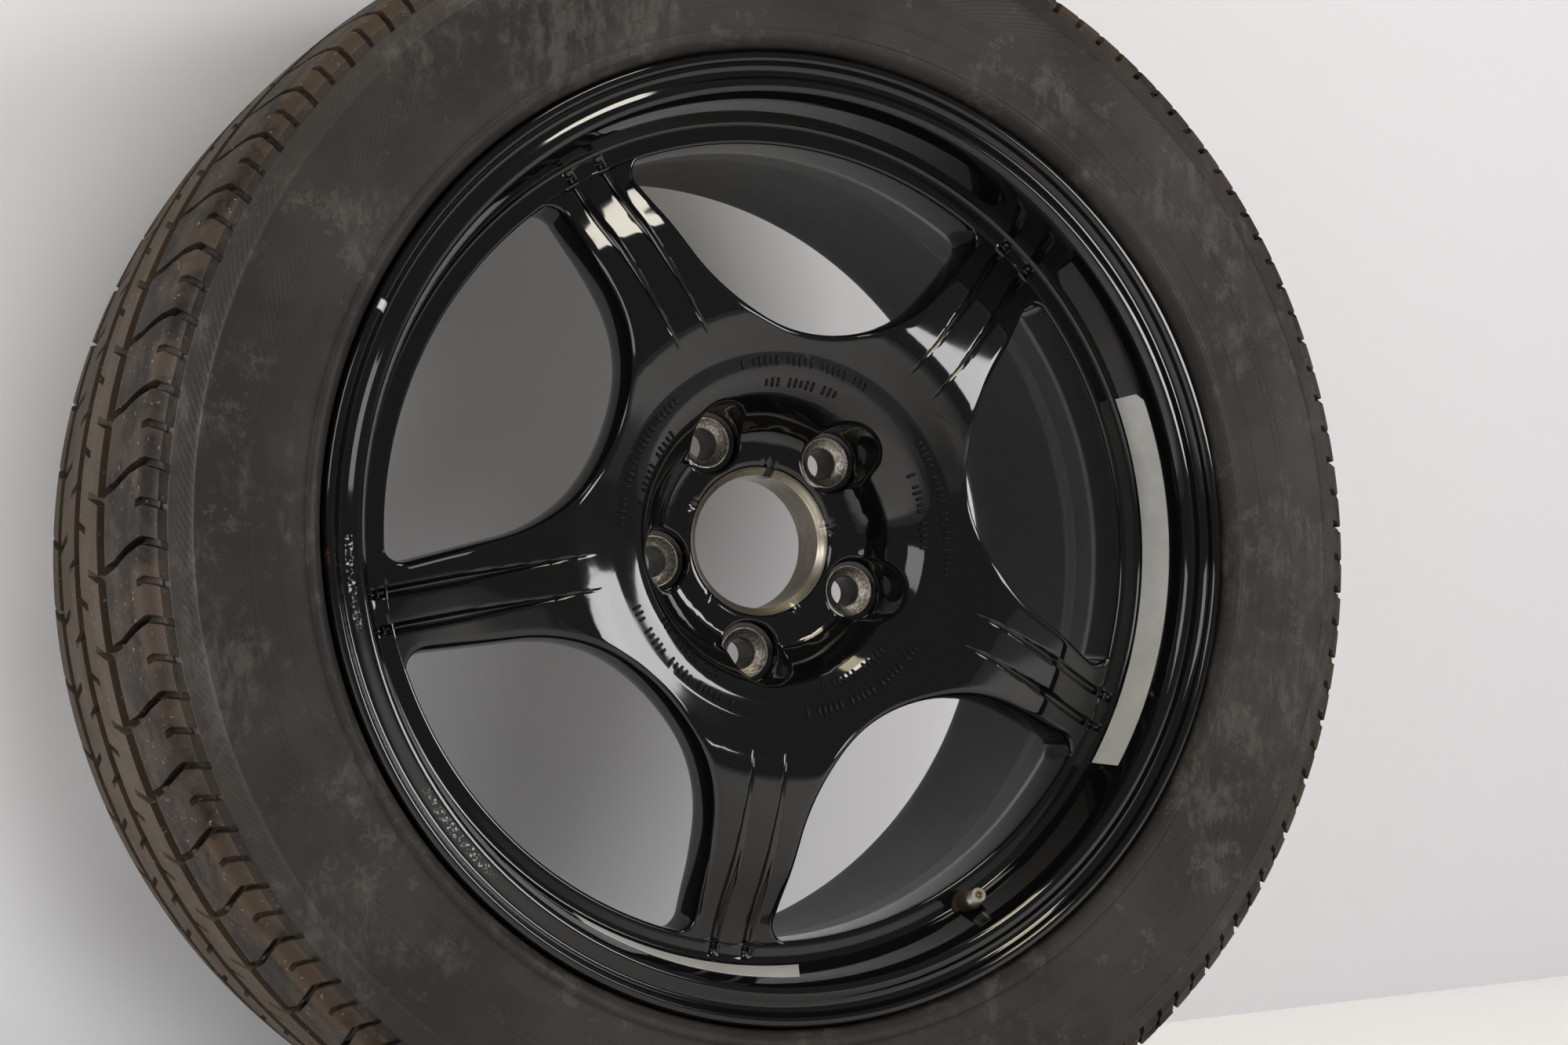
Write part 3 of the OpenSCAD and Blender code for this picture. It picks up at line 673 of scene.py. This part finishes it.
def flute_drop(x, y):
    """Depth of the two flutes at a point of a spoke that lies along x."""
    run = np.clip((x - WINDOW_HUB - 3) / 100, 0, 1)
    full = np.clip(0.12 + 1.5 * run, 0, 1) * np.clip((x - WINDOW_HUB - 1) / 4, 0, 1)
    full = full * np.clip((TIP - 29 - x) / 2.2, 0, 1)
    reach = 0.62 * FLUTE_W * np.clip(0.12 + 1.5 * run, 0.1, 1)
    share = np.minimum(np.abs(np.abs(y) - FLUTE_AT) / reach, 1)
    return FLUTE_DEPTH * full * (0.5 + 0.5 * np.cos(math.pi * share)) ** 0.8


def window_rays():
    """Outline of half a window beside a spoke that lies along x: points, normals into the metal and
    how far the rounding of the edge reaches, from the window's inner end to its corner at the rim."""
    a_side = math.radians(-(HALF_STEP + TAPER))
    half = math.radians(HALF_STEP)
    side_n = np.array([math.cos(a_side), math.sin(a_side)])
    side_t = np.array([-side_n[1], side_n[0]])
    side_p = ((WINDOW - 14) * np.array([math.sin(half), math.cos(half)])
              + SPOKE_HALF * np.array([-math.cos(half), math.sin(half)]))
    hub_round = (side_p @ side_n - WINDOW_HUB * side_n[1]) / (1 + side_n[1])
    hub_c = np.array([0, WINDOW_HUB + hub_round])
    q = side_p - CORNER * side_n
    b = q @ side_t
    corner_c = q + (-b + math.sqrt(b * b - q @ q + (WINDOW - CORNER) ** 2)) * side_t
    a_corner = math.atan2(corner_c[1], corner_c[0])
    rays = []
    for a in np.linspace(-math.pi / 2, a_side, 30):
        n = np.array([math.cos(a), math.sin(a)])
        rays.append((hub_c + hub_round * n, n, 1.0))
    start, end = hub_c + hub_round * side_n, corner_c + CORNER * side_n
    for t in np.linspace(0, 1, 15)[1:]:
        rays.append((start + t * (end - start), side_n, 1.0))
    for t in np.linspace(0, 1, 15)[1:]:
        a = a_side + t * (a_corner - a_side)
        n = np.array([math.cos(a), math.sin(a)])
        rays.append((corner_c + CORNER * n, n, 1 - 0.65 * t))
    turn = np.array([[math.sin(half), math.cos(half)], [-math.cos(half), math.sin(half)]])
    return [(turn @ p, turn @ n, k) for p, n, k in rays]


# Rounded edge of a window, from the face to the middle of its wall and on to the back:
# distance into the metal and depth below the face
EDGE_FRONT = [(5.2, 0), (4.4, 0.07), (3.7, 0.25), (3.0, 0.58), (2.4, 1.05), (1.95, 1.65), (1.6, 2.4),
              (1.3, 3.4), (0.95, 5.2), (0.55, 8.6), (0, 15.7)]
EDGE_BACK = [(0.2, 20), (0.55, 25.4), (1.0, 26.5), (2.0, 27)]
# Distances from the spoke's middle line at which its face has rows, in millimetres
FLUTE_ROWS = [14, 13, 12.0, 11.3, 10.7, 10.2, 9.7, 9.1, 8.5, 7.9, 7.3, 6.8, 6.3, 5.7, 4.8, 3.4, 1.8, 0]
INNER_ROWS = 6


def ray_end(point, normal):
    """Distance along a ray to the spoke's middle, the hub's edge or the disc's outer edge."""
    ends = []
    if normal[1] < -1e-6:
        ends.append(-point[1] / normal[1])
    for radius in (HUB_OUT, DISC_OUT):
        b, c = point @ normal, point @ point - radius ** 2
        if b * b > c:
            root = math.sqrt(b * b - c)
            ends += [t for t in (-b - root, -b + root) if t > 1]
    return min(ends)


def ray_kind(ray):
    """0 for a ray that ends at the hub's edge, 1 at the spoke's middle, 2 at the outer edge."""
    point, normal = ray[:2]
    radius = np.hypot(*(point + ray_end(point, normal) * normal))
    if radius < HUB_OUT + 1e-6:
        return 0
    return 2 if radius > DISC_OUT - 1e-6 else 1


def between(a, b, share):
    """The ray that lies at a share of the way from one ray to another."""
    normal = a[1] + share * (b[1] - a[1])
    return a[0] + share * (b[0] - a[0]), normal / np.hypot(*normal), a[2] + share * (b[2] - a[2])


def with_corners(rays):
    """The same rays, with one more wherever the next ends on another line, right at their corner."""
    out = [rays[0]]
    for a, b in zip(rays, rays[1:]):
        if ray_kind(a) != ray_kind(b):
            low, high = 0.0, 1.0
            for _ in range(40):
                middle = (low + high) / 2
                if ray_kind(between(a, b, middle)) == ray_kind(a):
                    low = middle
                else:
                    high = middle
            out.append(between(a, b, low))
        out.append(b)
    return out


def spoke_column(point, normal, reach):
    """One section of half a spoke: from its middle over the face, down the window and back."""
    end = ray_end(point, normal)
    first, last = EDGE_FRONT[0][0] * reach, end
    at_first, at_last = point + first * normal, point + last * normal
    if abs(at_last[1]) < 1e-6 and at_first[1] > FLUTE_ROWS[0]:
        ys = list(np.linspace(at_first[1], FLUTE_ROWS[0], INNER_ROWS + 1)[1:-1]) + FLUTE_ROWS
        inner = [first + (at_first[1] - y) / -normal[1] for y in ys]
    else:
        share = np.linspace(0, 1, INNER_ROWS + len(FLUTE_ROWS))[1:]
        inner = list(first + share * (last - first))
    column = []

    def add(d, drop, face):
        p = point + d * normal
        r = math.hypot(*p)
        z = front_z(r) if face else back_z(r)
        column.append((p[0], p[1], float(z - drop if face else z + drop)))

    for d in reversed(inner):
        p = point + d * normal
        add(d, float(flute_drop(p[0], p[1])), True)
    for d, depth in EDGE_FRONT:
        p = point + d * reach * normal
        add(d * reach, depth + float(flute_drop(p[0], p[1])), True)
    for d, depth in EDGE_BACK:
        add(d * reach, SPOKE_T - depth, False)
    for d in inner:
        p = point + d * normal
        core = 18 if p[1] < 11.5 and WINDOW_HUB + 6 < p[0] < WINDOW - 14 else 0
        add(d, core, False)
    return column


def hub_boundary(ring_turns):
    """Corner points of one bolt's share of the hub, around it, as distance from the axis and turn."""
    half = math.radians(HALF_STEP)
    outer = [(HUB_OUT, a) for a in ring_turns]
    side = [HUB_OUT + (BORE - HUB_OUT) * k / 16 for k in range(1, 16)]
    bore = [(BORE, half - 2 * half * k / 18) for k in range(19)]
    return outer + [(r, half) for r in side] + bore + [(r, -half) for r in reversed(side)]


def hub_column(radius, turn):
    """One section of the hub: from its edge over the face, down the bolt pocket and out the back."""
    end = np.array([radius - BOLT, BOLT * turn])
    phi = math.atan2(end[1], end[0])
    out = np.array([math.cos(phi), math.sin(phi)])

    def plan(rho):
        return np.array([BOLT, 0]) + rho * out

    def height(rho):
        return float(front_z(np.hypot(*plan(rho))))

    def path(rho, share):
        p = plan(rho)
        start = np.array([math.hypot(*p) - BOLT, BOLT * math.atan2(p[1], p[0])])
        u, v = start + share * (end - start)
        return (BOLT + u) * math.cos(v / BOLT), (BOLT + u) * math.sin(v / BOLT), BOLT + u

    slope = 0.5 + 0.5 * math.cos(phi)
    fillet = 1.5 + 1.1 * slope
    wall = POCKET_R + 0.2 + 0.6 * slope
    column = []
    for share in np.linspace(1, 0, 20)[:-1]:
        x, y, r = path(wall + fillet, share)
        column.append((x, y, float(front_z(r))))
    a = np.array([wall + fillet, height(wall + fillet)])
    c = np.array([wall, height(wall)])
    d = np.array([wall - 0.05, c[1] - fillet])
    steps = [(1 - t) ** 2 * a + 2 * t * (1 - t) * c + t * t * d for t in np.linspace(0, 1, 8)]
    steps += [d + (np.array([POCKET_R, POCKET + 1.2]) - d) * t for t in (0.33, 0.67, 1)]
    steps += [np.array(p) for p in ((POCKET_R - 0.35, POCKET + 0.35), (POCKET_R - 1.2, POCKET),
                                    (SEAT_R + 0.5, POCKET), (SEAT_R, POCKET - 0.15))]
    ball = POCKET + math.sqrt(SEAT_BALL ** 2 - SEAT_R ** 2)
    for rho in np.linspace(SEAT_R - 0.6, HOLE_R, 6):
        steps.append(np.array([rho, ball - math.sqrt(SEAT_BALL ** 2 - rho ** 2)]))
    steps += [np.array([HOLE_R, POCKET - 12]), np.array([HOLE_R, FACE])]
    for rho, z in steps:
        x, y = plan(rho)
        column.append((x, y, z))
    for share in (0.12, 0.3, 0.5, 0.65, 0.78, 0.86, 0.93, 1):
        x, y, r = path(HOLE_R, share)
        column.append((x, y, float(back_z(r))))
    return column


def add_strip(work, columns, turn, mirrored=False, closed=False, caps=()):
    """Adds one grid of sections, turned about the axis; caps joins both ends of these columns."""
    c, s = math.cos(math.radians(turn)), math.sin(math.radians(turn))
    grid = []
    for column in columns:
        line = []
        for x, y, z in column:
            y = -y if mirrored else y
            line.append(work.verts.new(((c * x - s * y) * MM, -z * MM, (s * x + c * y) * MM)))
        grid.append(line)
    count = len(grid)
    for k in range(count if closed else count - 1):
        a, b = grid[k], grid[(k + 1) % count]
        for i in range(len(a) - 1):
            face = (a[i], b[i], b[i + 1], a[i + 1])
            work.faces.new(face[::-1] if mirrored else face)
        if k in caps:
            face = (a[-1], b[-1], b[0], a[0])
            work.faces.new(face[::-1] if mirrored else face)
    return grid


def add_disc(work):
    """The spokes and the hub, one share after another around the axis."""
    rays = with_corners(window_rays())
    columns = [spoke_column(*ray) for ray in rays]
    tips = [column[0] for column in columns]
    hub_turns = [math.atan2(y, x) for x, y, z in tips if math.hypot(x, y) < HUB_OUT + 0.01]
    ring_turns = [-a for a in hub_turns] + [a for a in reversed(hub_turns) if a > 1e-6]
    ring_turns = sorted(set(round(a, 9) for a in ring_turns))
    outer = {k for k, (x, y, z) in enumerate(tips) if math.hypot(x, y) > DISC_OUT - 0.01}
    boundary = hub_boundary(ring_turns)
    hub = [hub_column(r, a) for r, a in boundary]
    bore = {k for k, (r, a) in enumerate(boundary) if r < BORE + 0.01}
    for i in range(SPOKES):
        turn = FIRST_SPOKE + i * 360 / SPOKES
        for mirrored in (False, True):
            grid = add_strip(work, columns, turn, mirrored, caps=outer)
            work.faces.new(grid[-1] if mirrored else grid[-1][::-1])
        add_strip(work, hub, turn, closed=True, caps=bore - {max(bore)})


def rim_section():
    """Closed section of the rim from the outboard tip over the visible side and back."""
    lip = smooth_curve([(TIP, LIP - 5), (TIP - 0.1, LIP - 2.2), (TIP - 0.9, LIP - 0.6), (TIP - 2.4, LIP),
                        (TIP - 4.2, LIP - 0.1), (TIP - 5.4, LIP - 1.3), (TIP - 6.6, LIP - 4.0),
                        (TIP - 8.6, LIP - 5.7), (TIP - 11.2, LIP - 5.6), (TIP - 14.2, LIP - 4.3),
                        (TIP - 16.6, LIP - 4.1), (TIP - 18.9, LIP - 5.6), (TIP - 21.2, LIP - 9.8),
                        (SEAT - 5.4, HALF_W - 1.9)], 5)
    foot = smooth_curve([(SEAT - 9.4, HALF_W - 22.6), (SEAT - 10.2, HALF_W - 24.6),
                         (SEAT - 11.4, RING + 0.35), (SEAT - 13, RING)], 4)
    ring = [(SEAT - 14.5, RING), (SEAT - 16, RING), (SEAT - 17.5, RING), (BARREL + 1.2, RING)]
    edge = [(BARREL + 0.6, RING - 0.05), (BARREL - 0.1, RING - 0.3), (WINDOW + 0.4, RING - 0.9),
            (WINDOW + 0.1, RING - 1.9), (WINDOW, RING - 4), (WINDOW, RING - 24), (WINDOW + 0.3, RING - 28),
            (BARREL, RING - 30)]
    inside = [(BARREL, 33.5), (BARREL + 0.3, 32.4), (BARREL + 1.1, 31.3)]
    inside += [(SEAT - 9.9, 5.5), (SEAT - 9.1, 2.6), (SEAT - 8.7, -0.5), (SEAT - 8.1, 22 - HALF_W)]
    bell = [(SEAT + 7.9 + 16 * math.cos(a), 9.5 - HALF_W + 16 * math.sin(a))
            for a in np.radians(np.linspace(180, 255, 9))]
    back_lip = smooth_curve([(TIP - 7.5, 4 - LIP), (TIP - 6, 2.0 - LIP), (TIP - 4.2, 0.3 - LIP),
                             (TIP - 2.4, -LIP), (TIP - 0.7, 0.8 - LIP), (TIP, 2.4 - LIP)], 4)
    hidden = [(TIP, 1 - HALF_W), (TIP - 9, -HALF_W), (SEAT + 2, 2 - HALF_W), (SEAT, 8 - HALF_W),
              (SEAT - 1.4, 22 - HALF_W), (SEAT - 4.3, 2.5), (SEAT - 16.6, 32.5), (SEAT - 16.6, 64),
              (SEAT - 2, HALF_W - 28), (SEAT, HALF_W - 8), (SEAT + 2, HALF_W - 2), (TIP - 9, HALF_W),
              (TIP - 2, HALF_W + 4)]
    return np.vstack([lip, foot, ring, edge, inside, bell, back_lip, hidden])


# Degrees between the rim's columns, and how near a spoke's middle they follow its flutes
RIM_STEP = 2.0
RIM_NEAR = 4.2


def add_rim(work):
    """The rim: its section at even turns, with finer columns where the flutes run out."""
    section = rim_section()
    turns = list(np.arange(0, 360, RIM_STEP))
    for i in range(SPOKES):
        middle = FIRST_SPOKE + i * 360 / SPOKES
        near = [y for side in (-1, 1) for y in (side * np.array(FLUTE_ROWS[2:14]))]
        lo, hi = middle - RIM_NEAR, middle + RIM_NEAR
        turns = [a for a in turns if not (lo < a < hi or lo < a + 360 < hi or lo < a - 360 < hi)]
        turns += [middle + math.degrees(y / (BARREL + 4)) for y in near + [0, 14, -14]]
    turns = sorted(set(round(a % 360, 5) for a in turns))
    grid = []
    for a in turns:
        off = min(((a - FIRST_SPOKE - i * 360 / SPOKES + 180) % 360 - 180 for i in range(SPOKES)),
                  key=abs)
        c, s = math.cos(math.radians(a)), math.sin(math.radians(a))
        line = []
        for r, z in section:
            if abs(z - RING) < 0.01 and abs(off) < 8:
                t = math.radians(off)
                z = z - float(flute_drop(r * math.cos(t), r * math.sin(t)))
            line.append(work.verts.new((r * c * MM, -z * MM, r * s * MM)))
        grid.append(line)
    count, rows = len(grid), len(section)
    for k in range(count):
        a, b = grid[k], grid[(k + 1) % count]
        for i in range(rows):
            j = (i + 1) % rows
            work.faces.new((a[i], a[j], b[j], b[i]))


def build_casting():
    """The casting with smooth faces: a turned rim, and the disc as sections beside each window."""
    work = bmesh.new()
    add_disc(work)
    bmesh.ops.remove_doubles(work, verts=work.verts, dist=WELD)
    bmesh.ops.recalc_face_normals(work, faces=work.faces)
    rim = bmesh.new()
    add_rim(rim)
    bmesh.ops.recalc_face_normals(rim, faces=rim.faces)
    mesh = bpy.data.meshes.new("casting_skin")
    rim.to_mesh(mesh)
    work.from_mesh(mesh)
    rim.free()
    work.to_mesh(mesh)
    work.free()
    obj = add_skin(mesh, black_paint())
    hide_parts("wheel_casting")
    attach(obj, "wheel")


# Plain raised marks in two arcs between the bolts: distance from the axis and length in
# millimetres, with half the arc's turn in degrees between them

MARK_ROWS = [(WINDOW_HUB - 15.9, 24, 5.2), (WINDOW_HUB - 26.4, 15, 4.4)]
MARK_PITCH = 3.1
MARK_W = 1.7
MARK_H = 0.85
MARK_SIDES = 8
MARK_CREASE = 60
# Rings of one mark from its foot to its top: share of its size and height above the face
MARK_RINGS = ((1.0, -0.25), (1.0, 0.1), (0.8, 0.5), (0.45, MARK_H))


def build_marks():
    """The raised marks of all five gaps, with some left out and some shorter."""
    work = bmesh.new()
    for gap in range(SPOKES):
        middle = FIRST_SPOKE + HALF_STEP + gap * 360 / SPOKES
        for row, (radius, half, length) in enumerate(MARK_ROWS):
            step = math.degrees(MARK_PITCH / radius)
            count = int(half / step)
            for k in range(-count, count + 1):
                if (k + 2 * gap + row) % 6 == 0:
                    continue
                shorter = 0.75 if (k * k + gap) % 3 == 1 else 1.0
                add_mark(work, radius, middle + k * step, length * shorter)
    bmesh.ops.recalc_face_normals(work, faces=work.faces)
    mesh = bpy.data.meshes.new("cast_marks")
    work.to_mesh(mesh)
    work.free()
    obj = add_skin(mesh, bpy.data.materials["black_paint"], MARK_CREASE)
    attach(obj, "wheel")


def squared(value):
    """Pushes a cosine or sine outward, which makes a circle squarer."""
    return math.copysign(abs(value) ** 0.4, value)


def add_mark(work, radius, turn, length):
    """One rounded bar across the arc, sunk a little into the hub's face."""
    c, s = math.cos(math.radians(turn)), math.sin(math.radians(turn))
    rings = []
    for share, lift in MARK_RINGS:
        ring = []
        for k in range(MARK_SIDES):
            a = math.radians((k + 0.5) * 360 / MARK_SIDES)
            out = radius + 0.5 * length * squared(math.cos(a)) * (0.6 + 0.4 * share)
            side = 0.5 * MARK_W * share * squared(math.sin(a))
            z = float(front_z(out)) + lift
            ring.append(work.verts.new(((out * c - side * s) * MM, -z * MM, (out * s + side * c) * MM)))
        rings.append(ring)
    for lower, upper in zip(rings, rings[1:]):
        for k in range(MARK_SIDES):
            j = (k + 1) % MARK_SIDES
            work.faces.new((lower[k], lower[j], upper[j], upper[k]))
    work.faces.new(rings[0][::-1])
    work.faces.new(rings[-1])


def dress(node, material):
    """Gives a carried CAD node its finish."""
    slots = NODES[node].data.materials
    slots.clear()
    slots.append(material)


add_camera()
add_studio()
build_casting()
build_marks()
dress("valve_rubber", simple_rubber("valve_rubber", (0.028, 0.018, 0.012, 1)))
dress("valve_stem", simple_metal("nickel", (0.55, 0.53, 0.48, 1), 0.3))
dress("valve_core", simple_metal("brass", (0.52, 0.38, 0.16, 1), 0.3))
dress("valve_pin", simple_metal("brass_pin", (0.55, 0.42, 0.2, 1), 0.3))
dress("valve_seal", simple_rubber("seal_rubber", (0.12, 0.02, 0.015, 1)))
dress("valve_spring", simple_metal("spring_steel", (0.4, 0.4, 0.4, 1), 0.3))
dress("label_right", foil())
dress("label_lower", foil())
build_tyre()

scene = bpy.context.scene
scene.view_settings.view_transform = "Standard"
